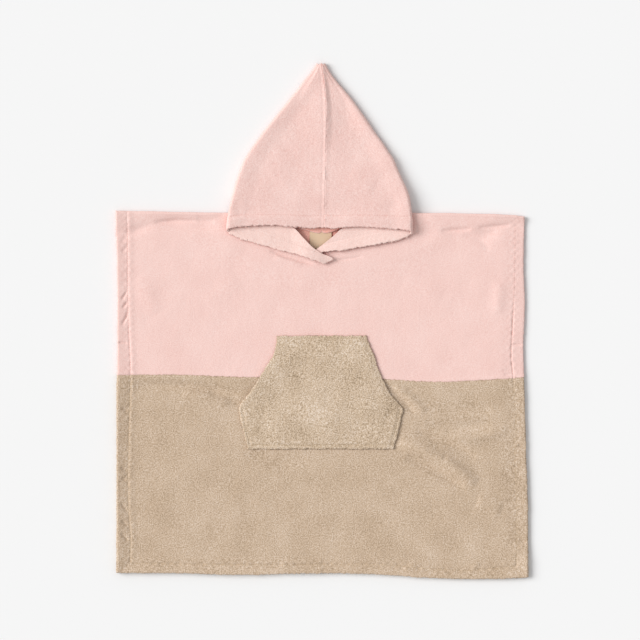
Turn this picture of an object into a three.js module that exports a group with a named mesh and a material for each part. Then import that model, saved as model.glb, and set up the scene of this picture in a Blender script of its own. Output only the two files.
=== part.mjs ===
// Hooded bath poncho for a toddler, laid flat on its back with its front up.
// Millimetres, +Z up. X runs across the garment and Y from the bottom hem to the tip of the hood.
// The origin is under the middle of the laid garment, on the surface that it lies on.
import * as THREE from 'three';

// Cloth and sewing
const CLOTH = 3; // terry, from pile to pile
const GAP = 0.3; // between pieces that are sewn together or lie on each other
const HEM_WIDTH = 18; // a turned hem on the side and bottom edges
const HEM_EXTRA = 2; // what the turned cloth adds, towards the inside
const HEM_SLOPE = 10; // the stretch in which the cloth comes down from a hem
const EDGE_ROUND = 1.8; // the rounded margin of a hem
const EDGE_SHARE = 0.5; // the part of the wall that is left at the very edge

// The body, as it lies
const HALF_WIDTH = 300;
const NECK_HALF = 105; // from the middle to the shoulder end of the neck hole
const NECK_RISE = 1.5; // the seam round the neck lifts the front by this much
const NECK_RISE_X = 150; // half width and height of the lifted place, which the hood covers
const NECK_RISE_Y = 85;
const NECK_RISE_END = 1.5; // it has come down at this many times that size
const SHOULDER_LINE = 159;
const SHOULDER_RISE = 1.5; // the roll of cloth in the shoulder fold
const SHOULDER_ROLL = 26; // and how far down the front it reaches

const SIDE_EDGES = [
  { y: -377, left: -300.3, right: 301.2 },
  { y: -335, left: -299.7, right: 300.6 },
  { y: -290, left: -299.5, right: 300.6 },
  { y: -249, left: -299.5, right: 300 },
  { y: -200, left: -299.5, right: 298.1 },
  { y: -163, left: -299.6, right: 297.1 },
  { y: -81, left: -299.3, right: 294.9 },
  { y: -50, left: -298.9, right: 294 },
  { y: -21, left: -298.6, right: 294 },
  { y: 8, left: -298.6, right: 295.5 },
  { y: 37, left: -298.7, right: 295.8 },
  { y: 66, left: -298.9, right: 294.3 },
  { y: 96, left: -299.3, right: 294.1 },
  { y: 125, left: -300.3, right: 295 },
  { y: 162, left: -300.8, right: 295.4 },
];
const SHOULDER_EDGE = [
  { x: -300, y: 161.8 },
  { x: -138, y: 159 },
  { x: 138, y: 158.8 },
  { x: 207, y: 158 },
  { x: 282, y: 155.2 },
  { x: 300, y: 153.3 },
];
const COLOUR_SEAM = [
  { x: -300, y: -78 },
  { x: -217, y: -77.5 },
  { x: -121, y: -80.6 },
  { x: 88, y: -83.7 },
  { x: 170, y: -87.9 },
  { x: 244, y: -85 },
  { x: 300, y: -81.3 },
];
const BOTTOM_EDGE = [
  { x: -300, y: -366.6 },
  { x: -200, y: -367.3 },
  { x: -120, y: -369.3 },
  { x: -32, y: -367.6 },
  { x: 57, y: -367.8 },
  { x: 108, y: -370.4 },
  { x: 147, y: -373.4 },
  { x: 191, y: -375 },
  { x: 258, y: -375.4 },
  { x: 300, y: -373.2 },
];
const NECKLINE = [
  { x: -105, front: 159, back: 159 },
  { x: -100, front: 151.5, back: 157.6 },
  { x: -90, front: 146.5, back: 155.4 },
  { x: -75, front: 142.5, back: 151.8 },
  { x: -58, front: 139.5, back: 147 },
  { x: -42, front: 134, back: 142 },
  { x: -28, front: 120.5, back: 138.4 },
  { x: -16, front: 108.5, back: 136.4 },
  { x: -8, front: 103.5, back: 135.4 },
  { x: 0, front: 107.4, back: 135 },
  { x: 12, front: 117.6, back: 135.8 },
  { x: 31, front: 133.5, back: 139 },
  { x: 45, front: 138.5, back: 143 },
  { x: 75, front: 142.5, back: 151.8 },
  { x: 90, front: 146.5, back: 155.4 },
  { x: 100, front: 151.5, back: 157.6 },
  { x: 105, front: 158.8, back: 158.8 },
];

// Soft folds that lift the front off the back, as ridges from one end to the other
const RIDGES = [
  { x0: 127, y0: -184, x1: 193, y1: -236, width: 17, rise: 3 },
  { x0: 148, y0: -128, x1: 176, y1: -162, width: 12, rise: 2 },
  { x0: -196, y0: -100, x1: -140, y1: -114, width: 13, rise: 1.8 },
  { x0: -268, y0: 66, x1: -240, y1: 12, width: 15, rise: 2 },
  { x0: 262, y0: 60, x1: 250, y1: -6, width: 15, rise: 2 },
  { x0: 226, y0: -262, x1: 262, y1: -276, width: 14, rise: 1.8 },
];

// Places of the sections across the body, from the middle out, and of the rows along it
const BODY_SECTIONS = [0, 10, 22, 34, 46, 62, 80, 94, NECK_HALF, 130, 160, 190, 220, 250, 272,
  HALF_WIDTH - HEM_WIDTH, HALF_WIDTH - EDGE_ROUND, HALF_WIDTH];
const YOKE_FRONT_ROWS = [0, 0.1, 0.2, 0.32, 0.44, 0.56, 0.68, 0.78, 0.86, 0.92, 0.965, 1];
const YOKE_BACK_ROWS = [0, 0.3, 0.6, 0.85, 0.95, 1];
const SHOULDER_FOLD_STEPS = 4;
const LOWER_BODY = 290; // nominal height of the lower body
const FRONT_LOWER_ROWS = [0, EDGE_ROUND, HEM_WIDTH, HEM_WIDTH + HEM_SLOPE, 55, 82, 108, 134, 158,
  182, 206, 232, 260, LOWER_BODY];
const BACK_LOWER_ROWS = [0, EDGE_ROUND, HEM_WIDTH, HEM_WIDTH + HEM_SLOPE, 110, 200, LOWER_BODY];

// The hood: each row is a section of one half, from the centre seam of the upper layer out to
// the fold at its side, and back on the lower layer to the neck or to the centre seam behind
const HOOD_HEM_EXTRA = 1.2;
const HOOD_HEM_ROWS = 2; // these rows lie on the hem of the face edge
const HOOD_FOLD_RISE = 2; // the cloth stands this much apart in the fold at the side
const HOOD_FOLD_REACH = 30;
const HOOD_FOLD_RADIUS = 2.6;
const HOOD_FOLD_STEPS = 4;
const HOOD_ACROSS = [0, 0.12, 0.26, 0.4, 0.54, 0.68, 0.8, 0.91, 1];
const HOOD_BACK_ROW = 9; // from this row on the lower layer is behind the neck
const DRAPE_SLOPE = 0.45; // how steeply cloth comes down from an edge that it lies over
const DRAPE_REACH = 6; // and how far past that edge it starts to
const NAPE_REACH = 15; // the same past the back of the neck, where the seam holds it
const FACE_EDGE_ROWS = 4; // rows next to the face edge that follow its curves, less and less
// How far the forehead's edge lies above the straight line between its ends
const FOREHEAD_BOW = [
  { x: -137, up: -1 },
  { x: -120, up: 2.4 },
  { x: -105, up: 3.3 },
  { x: -73, up: 3.8 },
  { x: -47, up: 1.7 },
  { x: -17, up: -1.8 },
  { x: 19, up: -1.2 },
  { x: 34, up: 0.7 },
  { x: 56, up: 2 },
  { x: 92, up: 1 },
  { x: 114, up: 0 },
  { x: 130, up: -1.2 },
];
// How far the cheeks' face edge hangs below the straight line, rounded at its outer corner
const CHEEK_DROOP = {
  left: [
    { x: -140, down: 4 },
    { x: -137, down: 6.1 },
    { x: -127, down: 8 },
    { x: -119, down: 9.2 },
    { x: -105, down: 8.3 },
    { x: -90, down: 6.9 },
    { x: -61, down: 6 },
    { x: -46, down: 4.2 },
    { x: -32, down: 2.7 },
    { x: -3, down: 3 },
    { x: 9, down: 1 },
  ],
  right: [
    { x: -9, down: 0 },
    { x: 5, down: 0.8 },
    { x: 12, down: 1.8 },
    { x: 26, down: 4 },
    { x: 41, down: 5.9 },
    { x: 56, down: 6.7 },
    { x: 70, down: 8.3 },
    { x: 92, down: 9.7 },
    { x: 107, down: 10.6 },
    { x: 114, down: 10 },
    { x: 123, down: 8.7 },
    { x: 130, down: 6.5 },
    { x: 134, down: 3 },
  ],
};
const CROSSING_START = -50; // the left cheek rises from here to pass over the right one
const CROSSING_END = -14;

const CENTRE_SEAM = [
  { y: 138, x: 0 },
  { y: 185, x: 1.5 },
  { y: 250, x: 3 },
  { y: 330, x: 2.5 },
  { y: 377, x: -1 },
];
const HOOD_ROWS = {
  left: [
    { topY: 138.5, sideX: -140, sideY: 136.5, seamX: 8.6, seamY: 87 },
    { topY: 149, sideX: -139, sideY: 148, seamX: 16, seamY: 92.5 },
    { topY: 160, sideX: -136.5, sideY: 160, seamX: 0, seamY: 100.5 },
    { topY: 172, sideX: -134, sideY: 172, seamX: -14, seamY: 109.5 },
    { topY: 184, sideX: -131, sideY: 185, seamX: -28, seamY: 123 },
    { topY: 196, sideX: -127.5, sideY: 198, seamX: -42, seamY: 137 },
    { topY: 208, sideX: -123.5, sideY: 211, seamX: -66, seamY: 143.5 },
    { topY: 221, sideX: -119, sideY: 223, seamX: -88, seamY: 149 },
    { topY: 234, sideX: -113.5, sideY: 236, seamX: -105, seamY: 160.5 },
    { topY: 247, sideX: -105, sideY: 249, seamX: -88, seamY: 152 },
    { topY: 260, sideX: -97.6, sideY: 260, seamX: -60, seamY: 144.5 },
    { topY: 274, sideX: -89.8, sideY: 271.5, seamX: -28, seamY: 135.4 },
    { topY: 288, sideX: -81, sideY: 283, seamX: -GAP / 2, seamY: 132 },
    { topY: 302, sideX: -68, sideY: 299, seamX: -GAP / 2, seamY: 172 },
    { topY: 317, sideX: -54, sideY: 316, seamX: -GAP / 2, seamY: 212 },
    { topY: 332, sideX: -41.8, sideY: 332, seamX: -GAP / 2, seamY: 252 },
    { topY: 347, sideX: -28.4, sideY: 349, seamX: -GAP / 2, seamY: 292 },
    { topY: 362, sideX: -16.2, sideY: 364, seamX: -GAP / 2, seamY: 334 },
    { topY: 377, sideX: -7.6, sideY: 376.8, seamX: -GAP / 2, seamY: 376 },
  ],
  right: [
    { topY: 138.5, sideX: 133, sideY: 134, seamX: -9, seamY: 99.5 },
    { topY: 149, sideX: 133, sideY: 147, seamX: -9, seamY: 104.3 },
    { topY: 160, sideX: 131.2, sideY: 160, seamX: 0, seamY: 111.3 },
    { topY: 172, sideX: 129.3, sideY: 172, seamX: 10.5, seamY: 119.8 },
    { topY: 184, sideX: 126.8, sideY: 184.5, seamX: 21, seamY: 128.3 },
    { topY: 196, sideX: 122.5, sideY: 197, seamX: 31, seamY: 136.4 },
    { topY: 208, sideX: 116.5, sideY: 210, seamX: 60, seamY: 143 },
    { topY: 221, sideX: 111, sideY: 222.5, seamX: 86, seamY: 149 },
    { topY: 234, sideX: 105.5, sideY: 235, seamX: 105, seamY: 160.5 },
    { topY: 247, sideX: 97.5, sideY: 247, seamX: 88, seamY: 152 },
    { topY: 260, sideX: 90, sideY: 259.5, seamX: 60, seamY: 144.5 },
    { topY: 274, sideX: 82, sideY: 270.5, seamX: 28, seamY: 135.4 },
    { topY: 288, sideX: 72.5, sideY: 283, seamX: GAP / 2, seamY: 132 },
    { topY: 302, sideX: 61.6, sideY: 299, seamX: GAP / 2, seamY: 172 },
    { topY: 317, sideX: 50.2, sideY: 316, seamX: GAP / 2, seamY: 212 },
    { topY: 332, sideX: 38, sideY: 332, seamX: GAP / 2, seamY: 252 },
    { topY: 347, sideX: 23.6, sideY: 349, seamX: GAP / 2, seamY: 292 },
    { topY: 362, sideX: 12, sideY: 364, seamX: GAP / 2, seamY: 334 },
    { topY: 377, sideX: 4.5, sideY: 376.8, seamX: GAP / 2, seamY: 376 },
  ],
};

// The pocket, from its top edge down
const POCKET_ACROSS = [0, 0.02, 0.1, 0.2, 0.35, 0.5, 0.65, 0.8, 0.9, 0.98, 1];
const POCKET_MOUTH_RISE = 3.2; // the open mouths stand off the front
const POCKET_MOUTH_REACH = 0.24;
const POCKET_FULLNESS = 1;
const POCKET_EDGES = [
  { y: -20.7, left: -65.7, right: 64.8, mouth: 0 },
  { y: -22.5, left: -66, right: 65.6, mouth: 0 },
  { y: -34.5, left: -67, right: 69.5, mouth: 0.25 },
  { y: -50, left: -71.5, right: 76, mouth: 0.6 },
  { y: -64, left: -80, right: 81, mouth: 0.85 },
  { y: -82, left: -91, right: 88, mouth: 1 },
  { y: -96, left: -99.5, right: 94.5, mouth: 0.95 },
  { y: -109, left: -108.5, right: 102.5, mouth: 0.7 },
  { y: -120, left: -118.5, right: 112.5, mouth: 0.25 },
  { y: -127, left: -121, right: 118, mouth: 0 },
  { y: -142, left: -118.5, right: 115.5, mouth: 0 },
  { y: -164, left: -114, right: 110.5, mouth: 0 },
  { y: -184, left: -109, right: 105.8, mouth: 0 },
  { y: -185.8, left: -108.2, right: 105, mouth: 0 },
];

// The label behind the neck
const LABEL = { left: -18, right: 14.5, top: 131.5, bottom: 106, thick: 0.7 };

const blushTerry = new THREE.MeshStandardMaterial({ color: '#f3cfc7', roughness: 0.95, metalness: 0 });
const sandTerry = new THREE.MeshStandardMaterial({ color: '#cbb59a', roughness: 0.95, metalness: 0 });
const wovenTape = new THREE.MeshStandardMaterial({ color: '#dcc6a8', roughness: 0.7, metalness: 0 });

// 0 up to the start, 1 from the end on, and a smooth change between them
function smooth(start, end, value) {
  return THREE.MathUtils.smoothstep((value - start) / (end - start), 0, 1);
}

// A column of a table at a place between its rows, on a smooth curve through them
function read(table, along, column, place) {
  const last = table.length - 1;
  let i = 0;
  while (i < last - 1 && place > table[i + 1][along]) i += 1;
  const slope = (k) => {
    const before = table[Math.max(0, k - 1)];
    const after = table[Math.min(last, k + 1)];
    return (after[column] - before[column]) / (after[along] - before[along]);
  };
  const [start, end] = [table[i], table[i + 1]];
  const span = end[along] - start[along];
  const t = THREE.MathUtils.clamp((place - start[along]) / span, 0, 1);
  const [t2, t3] = [t * t, t * t * t];
  return start[column] * (2 * t3 - 3 * t2 + 1) + end[column] * (3 * t2 - 2 * t3)
    + span * (slope(i) * (t3 - 2 * t2 + t) + slope(i + 1) * (t3 - t2));
}

// A wall of cloth: a grid of points on each of its faces, closed round all edges of its cells
function clothWall(name, material, columns, rows, pointsAt, isCloth = () => true) {
  const positions = [];
  for (let i = 0; i <= columns; i += 1) {
    for (let j = 0; j <= rows; j += 1) {
      const { outer, inner } = pointsAt(i, j);
      positions.push(...outer, ...inner);
    }
  }
  const outerIndex = (i, j) => 2 * (i * (rows + 1) + j);
  const cloth = (i, j) => i >= 0 && j >= 0 && i < columns && j < rows && isCloth(i, j);
  const faces = [];
  const quad = (a, b, c, d) => faces.push(a, b, c, a, c, d);
  const rim = (a, b) => quad(b, a, a + 1, b + 1);
  for (let i = 0; i < columns; i += 1) {
    for (let j = 0; j < rows; j += 1) {
      if (!cloth(i, j)) continue;
      const corners = [outerIndex(i, j), outerIndex(i + 1, j), outerIndex(i + 1, j + 1), outerIndex(i, j + 1)];
      const [a, b, c, d] = corners;
      quad(a, b, c, d);
      faces.push(a + 1, c + 1, b + 1, a + 1, d + 1, c + 1);
      if (!cloth(i, j - 1)) rim(a, b);
      if (!cloth(i + 1, j)) rim(b, c);
      if (!cloth(i, j + 1)) rim(c, d);
      if (!cloth(i - 1, j)) rim(d, a);
    }
  }
  if (signedVolume(positions, faces) < 0) {
    for (let k = 0; k < faces.length; k += 3) [faces[k], faces[k + 1]] = [faces[k + 1], faces[k]];
  }
  const geometry = new THREE.BufferGeometry();
  geometry.setAttribute('position', new THREE.Float32BufferAttribute(positions, 3));
  geometry.setIndex(faces);
  const faceted = geometry.toNonIndexed();
  faceted.computeVertexNormals();
  const mesh = new THREE.Mesh(faceted, material);
  mesh.name = name;
  return mesh;
}

function signedVolume(positions, faces) {
  const corner = (k) => new THREE.Vector3().fromArray(positions, 3 * faces[k]);
  let sum = 0;
  for (let k = 0; k < faces.length; k += 3) {
    sum += corner(k).dot(corner(k + 1).cross(corner(k + 2))) / 6;
  }
  return sum;
}

// Heights of the body's layers. A place is given by its nominal x, out of HALF_WIDTH, and its y.
const sections = [...BODY_SECTIONS.slice(1).reverse().map((x) => -x), ...BODY_SECTIONS];

function bodyX(nominal, y) {
  const edge = read(SIDE_EDGES, 'y', nominal < 0 ? 'left' : 'right', y);
  return (nominal * Math.abs(edge)) / HALF_WIDTH;
}

function hemBuild(nominal, fromBottom = Infinity) {
  const fromEdge = Math.min(HALF_WIDTH - Math.abs(nominal), fromBottom);
  return HEM_EXTRA * (1 - smooth(HEM_WIDTH, HEM_WIDTH + HEM_SLOPE, fromEdge));
}

// At the margin of a hem the wall thins to a rounded edge
function edgeTrim(nominal, fromBottom = Infinity) {
  const fromEdge = Math.min(HALF_WIDTH - Math.abs(nominal), fromBottom);
  return (1 - EDGE_SHARE) * 0.5 * (1 - smooth(0, EDGE_ROUND, fromEdge));
}

function ridgeRise(x, y) {
  return RIDGES.reduce((sum, fold) => {
    const [dx, dy] = [fold.x1 - fold.x0, fold.y1 - fold.y0];
    const length = Math.hypot(dx, dy);
    const along = ((x - fold.x0) * dx + (y - fold.y0) * dy) / length;
    const aside = ((x - fold.x0) * dy - (y - fold.y0) * dx) / length;
    const ends = smooth(-fold.width, fold.width, along) * smooth(-fold.width, fold.width, length - along);
    return sum + fold.rise * ends * Math.exp(-((aside / fold.width) ** 2));
  }, 0);
}

function frontRise(x, y) {
  const toNeck = Math.hypot(x / NECK_RISE_X, (y - SHOULDER_LINE) / NECK_RISE_Y);
  const neck = NECK_RISE * (1 - smooth(1, NECK_RISE_END, toNeck));
  const shoulder = SHOULDER_RISE * smooth(SHOULDER_LINE - SHOULDER_ROLL, SHOULDER_LINE - 4, y);
  return Math.max(neck, shoulder) + ridgeRise(x, y);
}

// The two faces of the front or back wall at a place on the body
function backWall(nominal, y, fromBottom) {
  const x = bodyX(nominal, y);
  const thick = CLOTH + hemBuild(nominal, fromBottom);
  const trim = thick * edgeTrim(nominal, fromBottom);
  return { outer: [x, y, trim], inner: [x, y, thick - trim] };
}

function frontWall(nominal, y, fromBottom) {
  const x = bodyX(nominal, y);
  const build = hemBuild(nominal, fromBottom);
  const under = CLOTH + build + GAP + frontRise(x, y);
  const thick = CLOTH + build;
  const trim = thick * edgeTrim(nominal, fromBottom);
  return { outer: [x, y, under + thick - trim], inner: [x, y, under + trim] };
}

// Upper body: up the back, over the shoulder fold and down the front, with the neck hole
function yoke() {
  const backRows = YOKE_BACK_ROWS.length - 1;
  const frontStart = backRows + SHOULDER_FOLD_STEPS;
  const rows = frontStart + YOKE_FRONT_ROWS.length - 1;
  const isNeck = (nominal) => Math.abs(nominal) < NECK_HALF;
  const seamY = (nominal) => read(COLOUR_SEAM, 'x', 'y', nominal) + GAP / 2;
  const foldOf = (nominal) => {
    const shoulder = read(SHOULDER_EDGE, 'x', 'y', nominal);
    const { outer, inner } = frontWall(nominal, shoulder);
    return { shoulder, radius: outer[2] / 2, innerTop: inner[2] };
  };
  const topOf = (nominal, side) => {
    if (isNeck(nominal)) return read(NECKLINE, 'x', side, nominal);
    const { shoulder, radius } = foldOf(nominal);
    return shoulder - radius;
  };
  const pointsAt = (i, j) => {
    const nominal = sections[i];
    const rise = (side, share) => THREE.MathUtils.lerp(seamY(nominal), topOf(nominal, side), share);
    if (j <= backRows) return backWall(nominal, rise('back', YOKE_BACK_ROWS[j]));
    if (j >= frontStart) return frontWall(nominal, rise('front', YOKE_FRONT_ROWS[rows - j]));
    const { shoulder, radius, innerTop } = foldOf(nominal);
    const angle = Math.PI * ((j - backRows) / SHOULDER_FOLD_STEPS - 0.5);
    const innerBottom = backWall(nominal, shoulder).inner[2];
    const innerRadius = (innerTop - innerBottom) / 2;
    const y = shoulder - radius;
    const x = bodyX(nominal, y);
    return {
      outer: [x, y + radius * Math.cos(angle), radius * (1 + Math.sin(angle))],
      inner: [x, y + innerRadius * Math.cos(angle), innerBottom + innerRadius * (1 + Math.sin(angle))],
    };
  };
  const isCloth = (i, j) => {
    const inHole = sections[i] > -NECK_HALF - 1 && sections[i + 1] < NECK_HALF + 1;
    return !(inHole && j >= backRows && j < frontStart);
  };
  return clothWall('yoke', blushTerry, sections.length - 1, rows, pointsAt, isCloth);
}

// Lower front or back: from the bottom hem up to the seam across the body
function lowerBody(name, rowPlaces, wall) {
  const pointsAt = (i, j) => {
    const nominal = sections[i];
    const bottom = read(BOTTOM_EDGE, 'x', 'y', nominal);
    const seam = read(COLOUR_SEAM, 'x', 'y', nominal) - GAP / 2;
    const fromHem = rowPlaces[j] - (HEM_WIDTH + HEM_SLOPE);
    const shareAbove = Math.max(0, fromHem) / (LOWER_BODY - HEM_WIDTH - HEM_SLOPE);
    const hemTop = bottom + Math.min(rowPlaces[j], HEM_WIDTH + HEM_SLOPE);
    return wall(nominal, THREE.MathUtils.lerp(hemTop, seam, shareAbove), rowPlaces[j]);
  };
  return clothWall(name, sandTerry, sections.length - 1, rowPlaces.length - 1, pointsAt);
}

// Heights under the hood. Cloth stays level just past an edge that it lies over, then comes down.
function drape(height, fromEdge) {
  return Math.max(0, height - DRAPE_SLOPE * Math.max(0, fromEdge - DRAPE_REACH));
}

const FRONT_TOP = 2 * CLOTH + GAP + NECK_RISE; // the front wall under the hood

function hoodGround(x, y, isBehindNeck) {
  const pastShoulder = Math.max(0, y - SHOULDER_LINE);
  if (!isBehindNeck) return drape(FRONT_TOP + GAP, pastShoulder);
  const intoHole = Math.max(0, NECK_HALF - Math.abs(x));
  const onShoulder = drape(FRONT_TOP + GAP, Math.hypot(intoHole, pastShoulder));
  const neckY = read(NECKLINE, 'x', 'back', THREE.MathUtils.clamp(x, -NECK_HALF, NECK_HALF));
  return Math.max(onShoulder, drape(CLOTH + GAP, Math.max(0, y - neckY - NAPE_REACH)));
}

function hoodHalf(name, side) {
  const table = HOOD_ROWS[side];
  const across = HOOD_ACROSS.length - 1;
  const lowerStart = across + HOOD_FOLD_STEPS;
  const direction = side === 'left' ? -1 : 1;
  const centreX = (y) => read(CENTRE_SEAM, 'y', 'x', y) + (direction * GAP) / 2;
  const thickOf = (row) => CLOTH + (row < HOOD_HEM_ROWS ? HOOD_HEM_EXTRA : 0);
  // The way out from the silhouette at a row, square to it
  const outward = (row) => {
    const before = table[Math.max(0, row - 1)];
    const after = table[Math.min(table.length - 1, row + 1)];
    const along = new THREE.Vector2(after.sideX - before.sideX, after.sideY - before.sideY).normalize();
    return new THREE.Vector2(direction * Math.abs(along.y), Math.abs(along.x));
  };
  const foldCentre = (row) => {
    const { sideX, sideY } = table[row];
    return new THREE.Vector2(sideX, sideY).addScaledVector(outward(row), -HOOD_FOLD_RADIUS - thickOf(row) / 2);
  };
  const lowerMiddle = (row, x, y) => {
    const crossing = side === 'left' && row < HOOD_BACK_ROW
      ? (CLOTH + HOOD_HEM_EXTRA + GAP) * smooth(CROSSING_START, CROSSING_END, x) : 0;
    return hoodGround(x, y, row >= HOOD_BACK_ROW) + crossing + thickOf(row) / 2;
  };
  const upperMiddle = (row, x, y, fromFold) => {
    const lift = HOOD_FOLD_RISE * (1 - smooth(0, HOOD_FOLD_REACH, fromFold));
    return hoodGround(x, y, false) + CLOTH + GAP + lift + thickOf(row) / 2
      + (row < HOOD_HEM_ROWS ? HOOD_HEM_EXTRA : 0);
  };
  const pointsAt = (row, j) => {
    const { topY, seamX, seamY } = table[row];
    const half = thickOf(row) / 2;
    const fold = foldCentre(row);
    const nearFace = Math.max(0, 1 - row / FACE_EDGE_ROWS);
    const bow = (x) => nearFace * read(FOREHEAD_BOW, 'x', 'up', x);
    const droop = (x) => nearFace * read(CHEEK_DROOP[side], 'x', 'down', x);
    if (j <= across) {
      const share = HOOD_ACROSS[j];
      const x = THREE.MathUtils.lerp(centreX(topY), fold.x, share);
      const y = THREE.MathUtils.lerp(topY, fold.y, share) + bow(x);
      const z = upperMiddle(row, x, y, Math.hypot(fold.x - x, fold.y - y));
      return { outer: [x, y, z + half], inner: [x, y, z - half] };
    }
    if (j >= lowerStart) {
      const share = 1 - HOOD_ACROSS[across - (j - lowerStart)];
      const x = THREE.MathUtils.lerp(fold.x, seamX, share);
      const y = THREE.MathUtils.lerp(fold.y, seamY, share) - droop(x);
      const z = lowerMiddle(row, x, y);
      return { outer: [x, y, z - half], inner: [x, y, z + half] };
    }
    const turn = (j - across) / HOOD_FOLD_STEPS;
    const angle = Math.PI * (0.5 - turn);
    const top = upperMiddle(row, fold.x, fold.y, 0);
    const bottom = lowerMiddle(row, fold.x, fold.y);
    const radius = (top - bottom) / 2;
    const out = outward(row);
    const place = (reach) => {
      const flat = fold.clone().addScaledVector(out, Math.cos(angle) * (HOOD_FOLD_RADIUS + reach));
      const y = THREE.MathUtils.lerp(flat.y + bow(fold.x), flat.y - droop(fold.x), turn);
      return [flat.x, y, (top + bottom) / 2 + Math.sin(angle) * (radius + reach)];
    };
    return { outer: place(half), inner: place(-half) };
  };
  const columns = lowerStart + across;
  return clothWall(name, blushTerry, table.length - 1, columns, pointsAt);
}

// Kangaroo pocket: it lies on the front, and its two slanted mouths stand a little open
function pocket() {
  const base = 2 * CLOTH + 2 * GAP;
  const pointsAt = (i, j) => {
    const edge = POCKET_EDGES[j];
    const share = POCKET_ACROSS[i];
    const x = THREE.MathUtils.lerp(edge.left, edge.right, share);
    const fromSide = Math.min(share, 1 - share);
    const mouth = POCKET_MOUTH_RISE * edge.mouth * (1 - smooth(0, POCKET_MOUTH_REACH, fromSide));
    const height = POCKET_EDGES[0].y - POCKET_EDGES.at(-1).y;
    const down = (POCKET_EDGES[0].y - edge.y) / height;
    const full = POCKET_FULLNESS * Math.sin(Math.PI * down) * Math.sin(Math.PI * share);
    const isRim = j === 0 || j === POCKET_EDGES.length - 1 || fromSide === 0;
    const top = base + mouth + full + CLOTH * (isRim ? 1 - EDGE_SHARE : 1);
    return { outer: [x, edge.y, top], inner: [x, edge.y, base + mouth + full] };
  };
  return clothWall('pocket', sandTerry, POCKET_ACROSS.length - 1, POCKET_EDGES.length - 1, pointsAt);
}

// Label: a short piece of woven tape on the inside of the back, bare
function label() {
  const base = CLOTH + GAP;
  const pointsAt = (i, j) => {
    const x = THREE.MathUtils.lerp(LABEL.left, LABEL.right, i / 2);
    const y = THREE.MathUtils.lerp(LABEL.bottom, LABEL.top, j / 2);
    return { outer: [x, y, base + LABEL.thick], inner: [x, y, base] };
  };
  return clothWall('label', wovenTape, 2, 2, pointsAt);
}

const poncho = new THREE.Group();
poncho.add(
  yoke(),
  lowerBody('front_lower', FRONT_LOWER_ROWS, frontWall),
  lowerBody('back_lower', BACK_LOWER_ROWS, backWall),
  hoodHalf('hood_left', 'left'),
  hoodHalf('hood_right', 'right'),
  pocket(),
  label(),
);

export default poncho;
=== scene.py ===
import math

import bmesh
import bpy
import numpy as np
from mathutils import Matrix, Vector
from mathutils.bvhtree import BVHTree


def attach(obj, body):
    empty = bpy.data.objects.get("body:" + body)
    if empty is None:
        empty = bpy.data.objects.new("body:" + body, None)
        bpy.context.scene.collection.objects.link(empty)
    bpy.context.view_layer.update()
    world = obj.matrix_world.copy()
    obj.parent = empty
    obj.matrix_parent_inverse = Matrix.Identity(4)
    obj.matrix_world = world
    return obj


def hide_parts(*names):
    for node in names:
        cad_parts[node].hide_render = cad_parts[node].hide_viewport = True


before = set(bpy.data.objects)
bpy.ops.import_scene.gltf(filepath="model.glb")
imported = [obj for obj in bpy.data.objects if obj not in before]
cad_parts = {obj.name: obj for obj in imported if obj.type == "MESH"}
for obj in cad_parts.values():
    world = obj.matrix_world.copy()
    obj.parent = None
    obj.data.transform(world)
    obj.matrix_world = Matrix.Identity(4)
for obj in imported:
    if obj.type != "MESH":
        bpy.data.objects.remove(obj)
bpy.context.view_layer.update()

# Lower back
# The hidden half of the skirt: one straight panel of sand terry, joined to the upper body by a
# seam across and hemmed at its sides and bottom. It lies flat on the floor under the front.
MM = 0.001
CLOTH = 3.0  # terry, from pile to pile
GAP = 0.3  # between two layers that lie on each other
HALF_WIDTH = 300.0
HEM_PLACE = 282.0  # nominal place of the side hems' stitch lines
FINE_STEP = 1.5  # spacing of the points where the cloth is seen
HIDDEN_STEP = 6.0
LINE_STEP, LINE_REACH = 0.7, 5  # closer points at a stitch line, and how far they go beside it
HEM_STEP = 1.2  # spacing between a stitch line and the edge
LINE_PULL, BOTTOM_PULL = 7, 6  # how far beside a stitch line the cloth follows it
EDGE_ROLL = 2.6  # how far in from its edge the cloth rounds off


def curve(rows):
    """A smooth curve through rows of (place, value), read at any places between them."""
    table = np.array(rows, float)
    places, values = table[:, 0], table[:, 1]
    slopes = np.gradient(values, places)

    def read(place):
        place = np.clip(place, places[0], places[-1])
        k = np.clip(np.searchsorted(places, place) - 1, 0, len(places) - 2)
        span = places[k + 1] - places[k]
        t = (place - places[k]) / span
        return (values[k] * (1 + 2 * t) * (1 - t) ** 2 + values[k + 1] * t * t * (3 - 2 * t)
                + span * (slopes[k] * t * (1 - t) ** 2 + slopes[k + 1] * t * t * (t - 1)))

    return read


def smooth(start, end, value):
    """0 up to the start, 1 from the end on, and a smooth change between them."""
    t = np.clip((value - start) / (end - start), 0, 1)
    return t * t * (3 - 2 * t)


left_edge = curve([(-377, -300.3), (-335, -299.7), (-290, -299.5), (-200, -299.5), (-163, -299.6),
                   (-81, -299.3), (-50, -298.9), (-21, -298.6), (37, -298.7), (66, -298.9),
                   (96, -299.3), (125, -300.3), (162, -300.8)])
right_edge = curve([(-377, 301.2), (-335, 300.6), (-290, 300.6), (-249, 300), (-200, 298.1),
                    (-163, 297.1), (-81, 294.9), (-50, 294), (-21, 294), (8, 295.5), (37, 295.8),
                    (66, 294.3), (96, 294.1), (125, 295), (162, 295.4)])
shoulder_edge = curve([(-300, 161.8), (-138, 159), (138, 158.8), (207, 158), (282, 155.2),
                       (300, 153.3)])
colour_seam = curve([(-300, -78), (-217, -77.5), (-121, -80.6), (88, -83.7), (170, -87.9),
                     (244, -85), (300, -81.3)])
bottom_edge = curve([(-300, -366.6), (-200, -367.3), (-120, -369.3), (-32, -367.6), (57, -367.8),
                     (108, -370.4), (147, -373.4), (191, -375), (258, -375.4), (300, -373.2)])
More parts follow.
